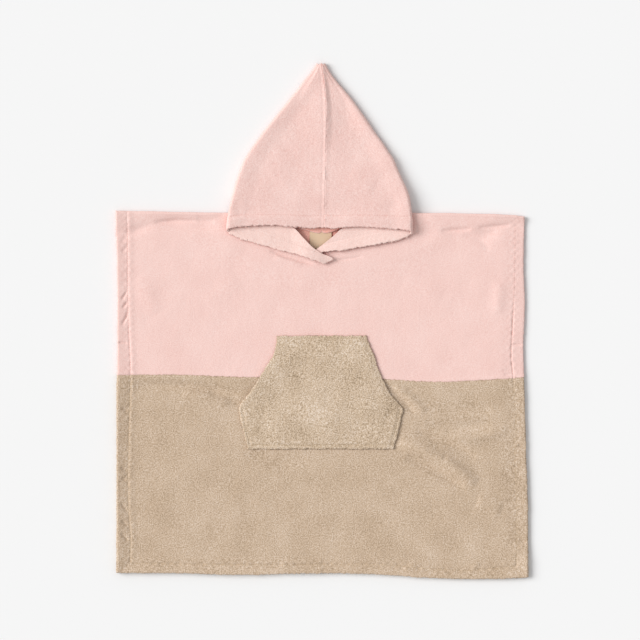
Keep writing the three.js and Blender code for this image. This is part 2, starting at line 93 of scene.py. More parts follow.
# Places of the hems' stitch lines, as the cloth lies
left_hem_line = curve([(-352, -280), (-323, -279), (-271, -282.2), (-184, -282.2), (-142, -281.2),
                       (-78, -279.3), (-9, -282), (153, -284)])
right_hem_line = curve([(-355, 283.2), (-291, 284.3), (-239, 283.2), (-195, 281.1), (-130, 282.2),
                        (-75, 278.3), (-46, 276), (-27, 277), (10, 278.9), (74, 280.8), (153, 282)])
bottom_hem_line = curve([(-280, -352.8), (-32, -354.6), (57, -353.8), (102, -355.4), (146, -359.7),
                         (213, -362.7), (280, -357.6)])


def body_x(nominal, y):
    """Where a section of the body, named by its place on a 600 mm wide one, lies at a height y.
    The sections beside a stitch line follow it."""
    left = nominal < 0
    edge = np.where(left, -left_edge(y), right_edge(y))
    line = np.where(left, -left_hem_line(y), right_hem_line(y))
    off_line = np.abs(nominal) - HEM_PLACE
    shift = (line - HEM_PLACE * edge / HALF_WIDTH) * np.exp(-((off_line / LINE_PULL) ** 2))
    return nominal * edge / HALF_WIDTH + np.where(left, -shift, shift)


def past_hem_line(x, y):
    """How far a place lies inside the nearest stitch line of the side and bottom hems."""
    sides = np.minimum(x - left_hem_line(y), right_hem_line(y) - x)
    return np.minimum(sides, y - bottom_hem_line(x))


def margin(roll, turned):
    """A hem in section: distance in from the edge and share of the height, from the turned
    cloth on the under side, round the edge, to the upper side."""
    under = [(d, 0.0) for d in turned]
    steps = 9
    angles = [math.pi * (k / (steps - 1) - 0.5) for k in range(steps)]
    edge = [(roll * (1 - math.cos(a)), (1 + math.sin(a)) / 2) for a in angles]
    return under + edge


def places_across(step):
    """Sections from side to side: nominal x, and the share of the height."""
    side = margin(EDGE_ROLL, (18, 9, 4.5))
    inner = HALF_WIDTH - side[-1][0] - 0.8
    at_line = np.arange(HEM_PLACE - LINE_REACH, HEM_PLACE + LINE_REACH, LINE_STEP)
    outside = np.arange(at_line[-1] + 1.1, inner, HEM_STEP)
    half = np.concatenate([at_line, outside])
    reach = at_line[0] - step
    middle = np.linspace(-reach, reach, int(round(2 * reach / step)) + 1)
    between = np.concatenate([-half[::-1], middle, half])
    xs = [-HALF_WIDTH + d for d, _ in side] + list(between) + [HALF_WIDTH - d for d, _ in side[::-1]]
    shares = [f for _, f in side] + [1.0] * len(between) + [f for _, f in side[::-1]]
    return np.array(xs), np.array(shares)


FIELD_STEP, FIELD_SIZE = 0.75, 1080  # noise is kept on a grid of so many points, so far apart


def soft_field(size, seed):
    """Soft noise of unit strength over the floor, its spots about that size across."""
    wide, high = (size, size) if np.isscalar(size) else size
    white = np.random.default_rng(seed).standard_normal((FIELD_SIZE, FIELD_SIZE))
    fx = np.fft.fftfreq(FIELD_SIZE)[:, None] * wide / FIELD_STEP
    fy = np.fft.rfftfreq(FIELD_SIZE)[None, :] * high / FIELD_STEP
    soft = np.fft.irfft2(np.fft.rfft2(white) * np.exp(-2.2 * (fx ** 2 + fy ** 2)), s=white.shape)
    return soft / soft.std()


def at(field, x, y):
    """The noise at places on the floor; the field repeats every 810 mm."""
    u, v = x / FIELD_STEP, y / FIELD_STEP
    i, j = np.floor(u).astype(int), np.floor(v).astype(int)
    a, b = u - i, v - j
    i, j = i % FIELD_SIZE, j % FIELD_SIZE
    after_i, after_j = (i + 1) % FIELD_SIZE, (j + 1) % FIELD_SIZE
    near = field[i, j] * (1 - a) + field[after_i, j] * a
    far = field[i, after_j] * (1 - a) + field[after_i, after_j] * a
    return near * (1 - b) + far * b


# The pile's noise, by the size of its spots and a seed: what sticks out as loops, clumps and rows
LOOPS, CLUMPS = soft_field(1.5, 1), soft_field(4.5, 2)
ROWS, SWELL = soft_field((1.8, 8.0), 3), soft_field(26, 4)
RAGGED = soft_field(1.7, 5)
# Strengths of loops, clumps, rows and swell, and the most that they may come to
SAND_PILE = (0.10, 0.025, 0.02, 0.12)
BLUSH_PILE = (0.05, 0.025, 0.015, 0.12)
MOST_PILE = 1.2


def normals_of(points):
    """The directions out of a grid of points, each of length 1."""
    along = np.gradient(points, axis=0)
    aside = np.gradient(points, axis=1)
    normal = np.cross(along, aside)
    return normal / np.maximum(np.linalg.norm(normal, axis=2, keepdims=True), 1e-9)


def raise_pile(points, strengths, turn=0.0):
    """Moves the cloth's surface out and in as its pile stands: loops, clumps, rows and swell. The
    turn moves the noise along, so that two layers don't match."""
    x, y = points[..., 0] + turn, points[..., 1] + 2 * turn
    fields = (LOOPS, CLUMPS, ROWS, SWELL)
    relief = sum(strength * at(field, x, y) for strength, field in zip(strengths, fields))
    relief = np.clip(relief, -MOST_PILE, MOST_PILE)
    return points + normals_of(points) * relief[..., None]


def make_ragged(points, weight, amount):
    """Moves an edge of cloth in and out as its loops stick out."""
    x, y = points[..., 0], points[..., 1]
    side, along = at(RAGGED, x, y + 3 * points[..., 2]), at(RAGGED, x + 300, y)
    return points + np.stack([amount * weight * side, amount * weight * along, np.zeros_like(x)], axis=-1)


def placed(name, data):
    """A new object of the scene, from a mesh, a light or a camera."""
    thing = bpy.data.objects.new(name, data)
    bpy.context.scene.collection.objects.link(thing)
    return thing


MEETING = 0.02  # points nearer than this are one


def mesh_from_grids(name, grids, material, closed=False, lining=None):
    """One mesh from grids of points, each with the cells that are cloth. Faces turn as the
    grid's two directions do. In a closed piece, points that meet become one. The lining is further
    materials, here copies of the cloth with painted highlight and painted bounce light, and for each
    face the number of the one that it has, 0 for the first."""
    vertices, faces, start = [], [], 0
    for points, cells in grids:
        n, m = points.shape[:2]
        index = start + np.arange(n * m).reshape(n, m)
        quads = np.stack([index[:-1, :-1], index[1:, :-1], index[1:, 1:], index[:-1, 1:]], axis=-1)
        quads = quads.reshape(-1, 4) if cells is None else quads[cells]
        used = np.unique(quads)
        place = np.zeros(start + n * m, int)
        place[used] = sum(len(v) for v in vertices) + np.arange(len(used))
        vertices.append(points.reshape(-1, 3)[used - start])
        faces.append(place[quads])
        start += n * m
    vertices, faces = np.concatenate(vertices) * MM, np.concatenate(faces)
    mesh = bpy.data.meshes.new(name)
    mesh.vertices.add(len(vertices))
    mesh.vertices.foreach_set("co", vertices.astype(np.float32).ravel())
    mesh.loops.add(faces.size)
    mesh.loops.foreach_set("vertex_index", faces.astype(np.int32).ravel())
    mesh.polygons.add(len(faces))
    mesh.polygons.foreach_set("loop_start", np.arange(0, faces.size, faces.shape[1], dtype=np.int32))
    mesh.materials.append(material)
    if lining:
        for further in lining[0]:
            mesh.materials.append(further)
        mesh.polygons.foreach_set("material_index", lining[1].astype(np.int32).ravel())
    mesh.update()
    if closed:
        edit = bmesh.new()
        edit.from_mesh(mesh)
        bmesh.ops.remove_doubles(edit, verts=edit.verts, dist=MEETING * MM)
        edit.to_mesh(mesh)
        edit.free()
    mesh.validate()
    mesh.shade_smooth()
    return placed(name, mesh)


def linear(hex_colour):
    """An sRGB hex colour as linear light, with alpha."""
    parts = [int(hex_colour[k:k + 2], 16) / 255 for k in (1, 3, 5)]
    return [p / 12.92 if p <= 0.04045 else ((p + 0.055) / 1.055) ** 2.4 for p in parts] + [1.0]


def add(tree, kind, settings=(), links=()):
    """Adds a node, with its properties or input values, and what feeds its inputs."""
    node = tree.nodes.new("ShaderNode" + kind)
    for key, value in dict(settings).items():
        if isinstance(key, str) and hasattr(node, key):
            setattr(node, key, value)
        else:
            node.inputs[key].default_value = value
    for key, source in dict(links).items():
        tree.links.new(source, node.inputs[key])
    return node


def empty_material(name):
    """A material without nodes yet, its tree, and the place on the piece for its patterns."""
    material = bpy.data.materials.new(name)
    material.use_nodes = True
    tree = material.node_tree
    tree.nodes.clear()
    return material, tree, add(tree, "TexCoord").outputs["Object"]


# Widths of single loops, of rows of loops and of worn patches
LOOP_WIDTH, ROW_WIDTH, PATCH_WIDTH = 1.6, 4, 45
ROW_STRETCH = 0.3  # how wide a row looks for its length
PAINTED_SHADE_REACH = 10  # how near other cloth counts as a gap for the painted shade


def terry(name, shadow, body, light, painted_gap_shade, grain, streak, patch, bumps, seed):
    """Looped cotton terry: matt and soft, with a little sheen where the loops catch the light.
    Grain, streak and patch say how far single loops, rows and worn places change the colour."""
    material, tree, place = empty_material(name)
    moved = add(tree, "Mapping", {"Location": (seed, 2 * seed, 0)}, {"Vector": place}).outputs[0]
    # The colour changes with single loops, with rows of them that show as short upright streaks,
    # and with wider patches
    loops = add(tree, "TexNoise", {"Scale": 1 / (LOOP_WIDTH * MM), "Detail": 0.0},
                {"Vector": moved}).outputs["Fac"]
    drawn_out = add(tree, "Mapping", {"Scale": (1, ROW_STRETCH, 1)}, {"Vector": moved}).outputs[0]
    rows = add(tree, "TexNoise", {"Scale": 1 / (ROW_WIDTH * MM), "Detail": 1},
               {"Vector": drawn_out}).outputs["Fac"]
    patches = add(tree, "TexNoise", {"Scale": 1 / (PATCH_WIDTH * MM), "Detail": 3},
                  {"Vector": moved}).outputs["Fac"]
    level = 0.5 - 0.5 * (grain + streak + patch)
    shade = add(tree, "Math", {"operation": "MULTIPLY_ADD", 1: grain, 2: level}, {0: loops}).outputs[0]
    shade = add(tree, "Math", {"operation": "MULTIPLY_ADD", 1: streak}, {0: rows, 2: shade}).outputs[0]
    shade = add(tree, "Math", {"operation": "MULTIPLY_ADD", 1: patch}, {0: patches, 2: shade}).outputs[0]
    ramp = add(tree, "ValToRGB", {}, {"Fac": shade})
    stops = ramp.color_ramp.elements
    stops[0].position, stops[0].color = 0.0, linear(shadow)
    stops[1].position, stops[1].color = 1.0, linear(light)
    stops.new(0.5).color = linear(body)
    # Painted shade: in gaps and under edges, found by ambient occlusion, the colour is darkened to a deeper
    # tint of the dye, standing in for shade and for light that goes from loop to loop
    openness_for_painted_shade = add(tree, "AmbientOcclusion", {"samples": 6, "Distance": PAINTED_SHADE_REACH * MM}).outputs["AO"]
    deeper = add(tree, "ValToRGB", {}, {"Fac": openness_for_painted_shade})
    stops = deeper.color_ramp.elements
    stops[0].position, stops[0].color = 0.05, linear(painted_gap_shade)
    stops[1].position, stops[1].color = 0.55, (1, 1, 1, 1)
    colour = add(tree, "VectorMath", {"operation": "MULTIPLY"},
                 {0: ramp.outputs["Color"], 1: deeper.outputs["Color"]}).outputs[0]
    bump = add(tree, "Bump", {"Strength": bumps, "Distance": 0.9 * MM}, {"Height": loops})
    surface = add(tree, "BsdfPrincipled",
                  {"Roughness": 0.92, "Specular IOR Level": 0.12, "Sheen Weight": 0.15,
                   "Sheen Roughness": 0.5},
                  {"Base Color": colour, "Normal": bump.outputs["Normal"]})
    add(tree, "OutputMaterial", {}, {"Surface": surface.outputs[0]})
    return material


# The fourth colour of each terry is its painted gap shade, the tint put in under edges and in gaps
sand_terry = terry("sand_cotton_terry", "#867056", "#C7AF96", "#EFDFD0", "#A67C54",
                   0.85, 0.1, 0.3, 0.35, 0.31)
HEM_SLOPE = 16  # how far from its stitch line to its edge a hem thickens


def hem_build(x, y):
    """What a turned hem adds to one layer: most at its edge, and nothing at its stitch line."""
    low = smooth(-60, -100, y)
    most = np.where(x < 0, 1.1 + 0.6 * low, -0.55 + 0.8 * low + 0.8 * smooth(-335, -352, y))
    return most * np.clip(-past_hem_line(x, y) / HEM_SLOPE, 0, 1)


def back_heights(x, y):
    """Under and upper face of the back, which lies flat."""
    return np.zeros_like(x), CLOTH + hem_build(x, y)


LOWER_HEIGHT = 290.0
BOTTOM_HEM_PLACE = 15.0
SEAM_LAP = 1.2  # how far the sand cloth runs on under the blush cloth at the seam


def lower_rows(step):
    """Rows from the bottom hem up to the seam: share of the way up and share of the height."""
    hem = margin(EDGE_ROLL, (16, 8, 4.5))
    at_line = np.arange(BOTTOM_HEM_PLACE - LINE_REACH, BOTTOM_HEM_PLACE + LINE_REACH, LINE_STEP)
    before = np.arange(hem[-1][0] + 0.8, at_line[0] - 0.4, HEM_STEP)
    start = at_line[-1] + step
    between = np.linspace(start, LOWER_HEIGHT, int(round((LOWER_HEIGHT - start) / step)) + 1)
    ups = np.concatenate([[d for d, _ in hem], before, at_line, between])
    shares = np.array([f for _, f in hem] + [1.0] * (len(ups) - len(hem)))
    return ups / LOWER_HEIGHT, shares


def lower_grid(step, heights, downward=False):
    """The lower panel's points, as its heights say, its turned hems under it or over it."""
    xs, side_share = places_across(step)
    ups, up_share = lower_rows(step)
    nominal, up = np.meshgrid(xs, ups, indexing="ij")
    bottom, top = bottom_edge(nominal), colour_seam(nominal) + SEAM_LAP
    from_hem = up * (top - bottom)
    off_line = from_hem - BOTTOM_HEM_PLACE
    shift = bottom_hem_line(nominal) - bottom - BOTTOM_HEM_PLACE
    shift = shift * np.exp(-((off_line / BOTTOM_PULL) ** 2))
    y = bottom + from_hem + shift
    x = body_x(nominal, y)
    low, high = heights(x, y)
    share = side_share[:, None] * up_share[None, :]
    if downward:
        share = 1 - share
    points = np.stack([x, y, low + (high - low) * share], axis=-1)
    from_edge = np.minimum(HALF_WIDTH - np.abs(nominal), from_hem)
    return make_ragged(points, 1 - smooth(0, 5, from_edge), 0.35)


back_points = lower_grid(HIDDEN_STEP, back_heights, downward=True)
back_lower = mesh_from_grids("lower_back", [(back_points[::-1], None)], sand_terry)
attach(back_lower, "root")
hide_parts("back_lower")

# Lower front
# The sand half that shows: a straight panel like the one behind it, lying on it, with the same
# seam and hems. It keeps a few soft folds beside the pocket and small puckers along its hems.
# Folds of the whole front, upper body too: places along the fold, its half width and its rise
FRONT_FOLDS = [
    ([(112, -176), (150, -189), (180, -203), (226, -236)], 10, 5.6),
    ([(122, -196), (160, -214), (208, -243)], 7, -2.6),
    ([(136, -160), (186, -178), (226, -200)], 7, -2.4),
    ([(92, -92), (118, -113), (135, -135)], 4, -2.2),
    ([(104, -94), (130, -112), (152, -134)], 6, 2.2),
    ([(184, -167), (222, -170), (272, -158)], 8, 1.9),
    ([(150, -149), (196, -155), (248, -148)], 8, -2.0),
    ([(150, -122), (196, -130), (250, -128)], 8, -1.5),
    ([(124, -99), (139, -99.5)], 3, -0.9),
    ([(130, -120), (158, -121)], 3, -0.9),
    ([(-276, -92), (-200, -94), (-118, -106)], 6.5, -3.8),
    ([(-166, -103), (-115, -121)], 5, -1.8),
    ([(-204, -104), (-132, -118)], 8, 2.4),
    ([(-112, -190), (-60, -206), (-20, -204)], 9, -1.1),
    ([(226, -262), (262, -276)], 13, 2.0),
    ([(176, -200), (182, -196)], 3, -1.2),
    ([(268, -262.5), (296, -262)], 2.6, -1.1),
    ([(-292, -126), (-283, -131)], 2.2, -1.7),
    ([(-293, -212), (-283.5, -219)], 2.4, -1.8),
    ([(-292, -227), (-285, -231)], 2.2, -1.4),
    ([(-293, -265), (-283.5, -277)], 2.2, -1.8),
    ([(-292, -290), (-284, -297)], 2.2, -1.6),
    ([(-293, -308), (-283, -319)], 2.6, -1.9),
    ([(286, -180), (297, -186)], 2.4, -1.3),
    ([(287, -318), (298, -322)], 2.4, -1.3),
    ([(-60, -357), (-40, -352)], 5, 0.8),
    ([(120, -364), (140, -352)], 6, 0.9),
    ([(215, -366), (228, -350)], 5, 0.8),
    ([(-283.5, 45), (-288, 38), (-292, 32)], 1.9, -1.9),
    ([(-283.5, 29), (-287, 24), (-291, 20)], 1.9, -1.8),
    ([(-283.5, 15), (-285, 6), (-292, -5)], 2.0, -2.0),
    ([(-284, 126), (-293, 116)], 3.0, -0.8),
    ([(-284, 109), (-292, 100)], 2.6, -0.9),
    ([(-297, -30.5), (-284, -31.5)], 1.3, -1.9),
    ([(276, -33.5), (292, -34)], 1.3, -1.7),
    ([(-268, 66), (-240, 12)], 13, 1.3),
    ([(258.6, 60), (256, 10)], 9, 1.3),
    ([(263, -70.7), (277.5, -73)], 2, -0.9),
    ([(265, -78), (277, -76)], 2, -0.9),
    ([(-244, 145), (-212, 147.5), (-182, 147)], 3, -2.4),
    ([(-184, 150), (-156, 146)], 4, -1.6),
    ([(174, 132), (218, 135)], 3, -2.0),
    ([(228, 137), (276, 141)], 2.8, -2.0),
    ([(-76, 104), (-56, 96), (-34, 89.5), (-12, 84)], 3.2, -2.2),
    ([(-70, 95), (-48, 88), (-28, 82)], 5, 1.3),
    ([(16, 89), (36, 91), (60, 95)], 1.9, -1.2),
    ([(206, 128), (232, 118), (246, 104)], 5, -1.1),
    ([(120, 60), (176, 34)], 14, 0.8),
    ([(-120, 62), (-170, 26)], 14, 0.7),
]
NECK_RISE = 1.5
NECK_RISE_X, NECK_RISE_Y, NECK_RISE_END = 150.0, 85.0, 1.5
SHOULDER_LINE = 159.0
SHOULDER_ROLL, SHOULDER_TROUGH = 3.8, 1.6
shoulder_trough = curve([(-300, 129), (-285, 129), (-266, 135), (-235, 143), (-190, 141), (-140, 135),
                         (-100, 132), (100, 131), (187, 129), (244, 130), (262, 137), (300, 138)])
GROOVE_WIDTH = 1.3


def fold_rise(x, y, folds):
    """Soft troughs and ridges along short broken lines, fading out past their ends."""
    total = np.zeros_like(x)
    for places, width, rise in folds:
        nearest, share = np.full_like(x, 1e9), np.zeros_like(x)
        legs = [math.dist(a, b) for a, b in zip(places, places[1:])]
        done = 0.0
        for (x0, y0), (x1, y1), leg in zip(places, places[1:], legs):
            dx, dy = x1 - x0, y1 - y0
            t = np.clip(((x - x0) * dx + (y - y0) * dy) / (dx * dx + dy * dy), 0, 1)
            apart = (x - x0 - t * dx) ** 2 + (y - y0 - t * dy) ** 2
            share = np.where(apart < nearest, (done + t * leg) / sum(legs), share)
            nearest = np.minimum(nearest, apart)
            done += leg
        total += rise * np.exp(-nearest / width ** 2) * (1 - 0.95 * (2 * share - 1) ** 4)
    return total


def groove_depth(x, y):
    """The hems' stitches pull unevenly: most along the bottom and at the right armhole's foot."""
    foot = smooth(40, 5, y) * smooth(-100, -72, y)
    sides = np.where(x > 0, 0.14 + 1.06 * foot, 0.55 - 0.2 * smooth(60, 120, y))
    depth = sides + (0.6 - sides) * smooth(-335, -350, y)
    return depth * np.clip(1 + 0.3 * at(CLUMPS, x, y), 0.3, 1.7)


def front_heights(x, y):
    """Under and upper face of the front, hems, grooves and folds included."""
    inside = past_hem_line(x, y)
    build = 2 * hem_build(x, y)
    to_neck = np.hypot(x / NECK_RISE_X, (y - SHOULDER_LINE) / NECK_RISE_Y)
    neck = NECK_RISE * (1 - smooth(1, NECK_RISE_END, to_neck))
    # The roll of the shoulder fold, and the trough along its foot, deeper in some places
    down = (SHOULDER_LINE - y) / (SHOULDER_LINE - shoulder_trough(x))
    roll = SHOULDER_ROLL * np.clip(1 - down, 0, 1) ** 1.2 * smooth(128, 165, np.abs(x))
    deep = (1 + 0.5 * np.sin(x / 17) + 0.3 * np.sin(x / 7.3)) * smooth(118, 150, np.abs(x))
    reach = np.where(x > 0, 11, 8)
    trough = SHOULDER_TROUGH * deep * np.exp(-((y - shoulder_trough(x)) / reach) ** 2)
    low = CLOTH + GAP + build / 2 + np.maximum(neck, roll)
    groove = groove_depth(x, y) * np.exp(-(inside / GROOVE_WIDTH) ** 2)
    # Cloth swells a little beside the left hem and falls away slowly to the right one
    puff = np.where(x < 0, 0.7, 0.1) * np.exp(-((inside - 3.5) / 4.5) ** 2)
    puff -= np.where(x < 0, 0, 0.9) * np.exp(-(np.maximum(inside, 0) / 11) ** 2) * smooth(-335, -320, y)
    pucker = np.sin(y * 2 * math.pi / 11 + 2.2 * np.sin(y / 23)) * np.cos(x * 2 * math.pi / 13 + x / 40)
    puckers = 0.3 * pucker * np.exp(-(inside / 8) ** 2)
    folds = fold_rise(x, y, FRONT_FOLDS)
    return low, low + CLOTH + build / 2 - groove + puff + puckers - trough + folds


def under_the_seam(x, y):
    """The front's faces, let down a little where they run under the blush cloth."""
    low, high = front_heights(x, y)
    return low, high - 0.6 * smooth(-3.0, -0.4, y - colour_seam(x))


front_points = lower_grid(FINE_STEP, under_the_seam)
front_points = raise_pile(front_points, SAND_PILE, 11)
front_lower = mesh_from_grids("lower_front", [(front_points, None)], sand_terry)
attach(front_lower, "root")
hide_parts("front_lower")

# Upper body
# Front and back in one piece of blush terry, folded over at the shoulders, with a wide scooped
# neck hole. The shoulder fold is a soft roll, and the open sides are hemmed as armholes.
NECK_HALF = 105.0  # half the neck hole's width at the shoulders
NECK_LOW = 84.0  # how low the inner face of the back is made behind the hole
UPPER_HEIGHT, FOLD_STEPS = 243.0, 12
neck_front = curve([(-105, 159), (-100, 151.5), (-90, 146.5), (-75, 142.5), (-58, 139.5), (-42, 134),
                    (-28, 120.5), (-16, 108.5), (-8, 103.5), (0, 107.4), (12, 117.6), (31, 133.5),
                    (45, 138.5), (75, 142.5), (90, 146.5), (100, 151.5), (105, 158.8)])
neck_back = curve([(-105, 159), (-100, 157.6), (-90, 155.4), (-75, 151.8), (-58, 147), (-42, 142),
                   (-28, 138.4), (0, 135), (28, 138.4), (45, 143), (75, 151.8), (90, 155.4),
                   (100, 157.6), (105, 158.8)])
blush_terry = terry("blush_cotton_terry", "#D8A59A", "#F0CCC4", "#FDEBE5", "#BE5C52",
                    0.42, 0.05, 0.2, 0.2, 0.77)


def yoke_grid():
    """Up the front, round the shoulder fold and down the back: points, the cells that are
    cloth, and how many rows are seen."""
    xs, side_share = places_across(FINE_STEP)
    neck = np.abs(xs) < NECK_HALF - FINE_STEP
    shoulder = shoulder_edge(xs)
    front_low, front_high = front_heights(body_x(xs, shoulder), shoulder)
    radius = front_high / 2
    seam_y = colour_seam(xs) + 0.35 * at(RAGGED, xs, 0 * xs)
    top_front = np.where(neck, neck_front(xs), shoulder - radius)
    top_back = np.where(neck, neck_back(xs), shoulder - radius)
    rows, cloth = [], []
    # Beside the colour seam the blush cloth dips, then stands up a little: distance up and lift
    seam = [(0.0, -0.5), (0.15, -0.1), (0.6, 0.15), (1.5, 0.3), (3.0, 0.3), (5.0, 0.15)]
    ups = [d / UPPER_HEIGHT for d, _ in seam]
    ups += list(np.linspace(ups[-1], 1, int(UPPER_HEIGHT / FINE_STEP))[1:])
    lifts = [f for _, f in seam] + [0.0] * (len(ups) - len(seam))
    for up, lift in zip(ups, lifts):
        y = seam_y + up * (top_front - seam_y)
        x = body_x(xs, y)
        low, high = front_heights(x, y)
        at_neck = np.where(neck, smooth(0, 2.4, (1 - up) * (top_front - seam_y)) * 0.5 + 0.5, 1)
        z = low + (high - low) * side_share * at_neck + lift
        rows.append(np.stack([x, y, z], axis=-1))
        cloth.append(np.ones(len(xs), bool))
    for k in range(1, FOLD_STEPS):
        angle = math.pi * (0.5 - k / FOLD_STEPS)
        y = shoulder - radius + radius * math.cos(angle)
        full = radius * (1 + math.sin(angle) * side_share)
        rows.append(np.stack([body_x(xs, shoulder), y, full], axis=-1))
        cloth.append(~neck)
    for up in np.linspace(1, 0, int(UPPER_HEIGHT / HIDDEN_STEP)):
        y = seam_y + up * (top_back - seam_y)
        x = body_x(xs, y)
        low, high = back_heights(x, y)
        rows.append(np.stack([x, y, low + (high - low) * (1 - side_share)], axis=-1))
        cloth.append(np.ones(len(xs), bool))
    points = np.stack(rows, axis=1)
    points = make_ragged(points, 1 - smooth(0, 5, HALF_WIDTH - np.abs(xs))[:, None], 0.3)
    front_rows = len(ups)
    on_fold = np.zeros(points.shape[1] - 1, bool)
    on_fold[front_rows - 1:front_rows + FOLD_STEPS - 1] = True
    in_hole = (neck[:-1] | neck[1:])[:, None] & on_fold[None, :]
    return points, ~in_hole, front_rows + FOLD_STEPS


def back_inside():
    """The inner face of the back, where it shows through the neck hole."""
    xs = np.linspace(-NECK_HALF + 2, NECK_HALF - 2, 140)
    ups = np.linspace(0, 1, 44)
    nominal, up = np.meshgrid(xs, ups, indexing="ij")
    y = NECK_LOW + up * (neck_back(nominal) - NECK_LOW)
    z = np.full_like(nominal, CLOTH) - 0.8 * smooth(0.97, 1, up)
    return np.stack([nominal, y, z], axis=-1)


yoke_points, yoke_cloth, fine_rows = yoke_grid()
raised = raise_pile(yoke_points[:, :fine_rows], BLUSH_PILE, 21)
yoke_points = np.concatenate([raised, yoke_points[:, fine_rows:]], axis=1)
inside_points = raise_pile(back_inside(), BLUSH_PILE, 27)
# Down in the neck the blush is painted fuller and redder, as painted bounce light: it stands in for pink
# light from the cloth around it
painted_bounce_terry = terry("blush_cotton_terry_with_painted_bounce_light", "#E08F80", "#F8BCAE", "#FFD8CC", "#BE5C52",
                   0.42, 0.05, 0.2, 0.2, 0.39)
inside_cells = (inside_points.shape[0] - 1) * (inside_points.shape[1] - 1)
in_the_neck = np.repeat([0, 1], [np.count_nonzero(yoke_cloth), inside_cells])
yoke = mesh_from_grids("upper_body", [(yoke_points, yoke_cloth), (inside_points, None)], blush_terry,
                       lining=([painted_bounce_terry], in_the_neck))
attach(yoke, "root")
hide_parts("yoke")

# Hood
# Two pointed halves of blush terry with one centre seam from the forehead over the tip to the
# nape. Laid flat, each half folds round its side; the ends of the face edge fall forward over
# the neckline with their inside up, the left over the right, and the face edge is hemmed.
# Spacing of a half's points, and about how far they go, up to the tip and round to the side
HOOD_STEP, HOOD_LENGTH, HOOD_REACH = 1.7, 284, 128
FACE_EDGE = 138
SEAM_LAPS = {"left": 0.5, "right": 0.1}  # how far over the centre seam's line each half starts
HOOD_HEM_EXTRA = 1.2  # what the turned hem of the face edge adds to the wall
HEM_DEPTH = 17.0
HOOD_FOLD_RISE, HOOD_FOLD_REACH, HOOD_FOLD_RADIUS = 2.0, 30.0, 2.6
HOOD_BACK_ROW = 9  # from this section on the lower layer lies behind the neck, not on the front
DRAPE_SLOPE, DRAPE_REACH, NAPE_REACH = 0.45, 6.0, 15.0
CROSSING_START, CROSSING_END = -50.0, -14.0  # where the left cheek climbs onto the right one
FRONT_TOP = 2 * CLOTH + GAP + NECK_RISE
NECK_SHOWS_BELOW = 200  # past this height the inside of the hood is out of sight
centre_seam = curve([(138, 3.2), (185, 4.4), (250, 5.6), (330, 5.2), (377, -0.6)])
# One row for each section of a half: height of the upper layer at the centre seam, place of the
# fold at the side, and place of the inner edge on the lower layer
HOOD_LEFT = [
    (138.5, -140, 136.5, 6.5, 87), (149, -139, 148, 16, 92.5), (160, -136.5, 160, 0, 100.5),
    (172, -134, 172, -14, 109.5), (184, -131, 185, -28, 123), (196, -127.5, 198, -42, 137),
    (208, -123.5, 211, -66, 143.5), (221, -119, 223, -88, 149), (234, -113.5, 236, -105, 160.5),
    (247, -105, 249, -88, 152), (260, -97.6, 260, -60, 144.5), (274, -89.8, 271.5, -28, 135.4),
    (288, -81, 283, -0.15, 132), (302, -68, 299, -0.15, 172), (317, -54, 316, -0.15, 212),
    (332, -41.8, 332, -0.15, 252), (347, -28.4, 349, -0.15, 292), (362, -16.2, 364, -0.15, 334),
    (377, -7.6, 376.8, -0.15, 376),
]
HOOD_RIGHT = [
    (138.5, 133, 134, -9, 99.5), (149, 133, 147, -9, 104.3), (160, 131.2, 160, 0, 111.3),
    (172, 129.3, 172, 10.5, 119.8), (184, 126.8, 184.5, 21, 128.3), (196, 122.5, 197, 31, 136.4),
    (208, 116.5, 210, 60, 143), (221, 111, 222.5, 86, 149), (234, 105.5, 235, 105, 160.5),
    (247, 97.5, 247, 88, 152), (260, 90, 259.5, 60, 144.5), (274, 82, 270.5, 28, 135.4),
    (288, 72.5, 283, 0.15, 132), (302, 61.6, 299, 0.15, 172), (317, 50.2, 316, 0.15, 212),
    (332, 38, 332, 0.15, 252), (347, 23.6, 349, 0.15, 292), (362, 12, 364, 0.15, 334),
    (377, 4.5, 376.8, 0.15, 376),
]
# How far the face edge lies from the straight line between its ends, above and below
forehead_bow = curve([(-137, -1), (-120, 2.4), (-105, 3.3), (-73, 3.8), (-47, 1.7), (-32, 0.3),
                      (-17, -1.8), (-3, -0.8), (19, -1.2), (34, 0.7), (56, 2), (77, 1.8), (92, 1),
                      (114, 0), (130, -1.2)])
left_droop = curve([(-140, 4), (-137, 6.1), (-127, 8), (-119, 9.2), (-105, 8.3), (-90, 6.9), (-61, 6),
                    (-46, 4.2), (-32, 2.7), (-17, 3.2), (-3, 3), (9, 1)])
right_droop = curve([(-9, 0), (5, 0.8), (12, 1.8), (26, 4), (41, 5.9), (56, 6.7), (70, 8.3), (92, 9.7),
                     (107, 10.6), (114, 10), (123, 8.7), (130, 6.5), (134, 3)])
# The step down at the right of the centre seam, by height: about its whole depth, and how far the
# steep part of it reaches
step_depth = curve([(160, 0.3), (200, 0.6), (240, 1.0), (262, 2.6), (285, 4.4), (320, 5.6), (345, 5.6),
                    (362, 3.6), (377, 0)])
step_reach = curve([(160, 7), (240, 8), (280, 10), (310, 9), (345, 7), (362, 6), (377, 5)])
# Shares of that depth: the rise from the left, and the steep and the slow part of the drop
RISE_SHARE, STEEP_SHARE, SLOW_SHARE = 0.72, 0.42, 0.58
RISE_REACH, STEEP_START, SLOW_START, SLOW_REACH = 48, 0.02, -6, 36.0
HOOD_FOLDS = [
    ([(40, 214), (78, 196)], 16, 0.9),
    ([(-50, 250), (-78, 214)], 18, 0.8),
    ([(-36, 170), (10, 168), (60, 172)], 12, -0.7),
    ([(95, 158), (112, 176)], 10, -0.8),
    ([(-120, 150), (-124, 178)], 7, -0.7),
]
HOOD_PILE = (0.065, 0.045, 0.02, 0.2)


def drape(height, from_edge):
    """How high cloth still hangs at a distance past the edge of what holds it up."""
    return np.maximum(0, height - DRAPE_SLOPE * np.maximum(0, from_edge - DRAPE_REACH))


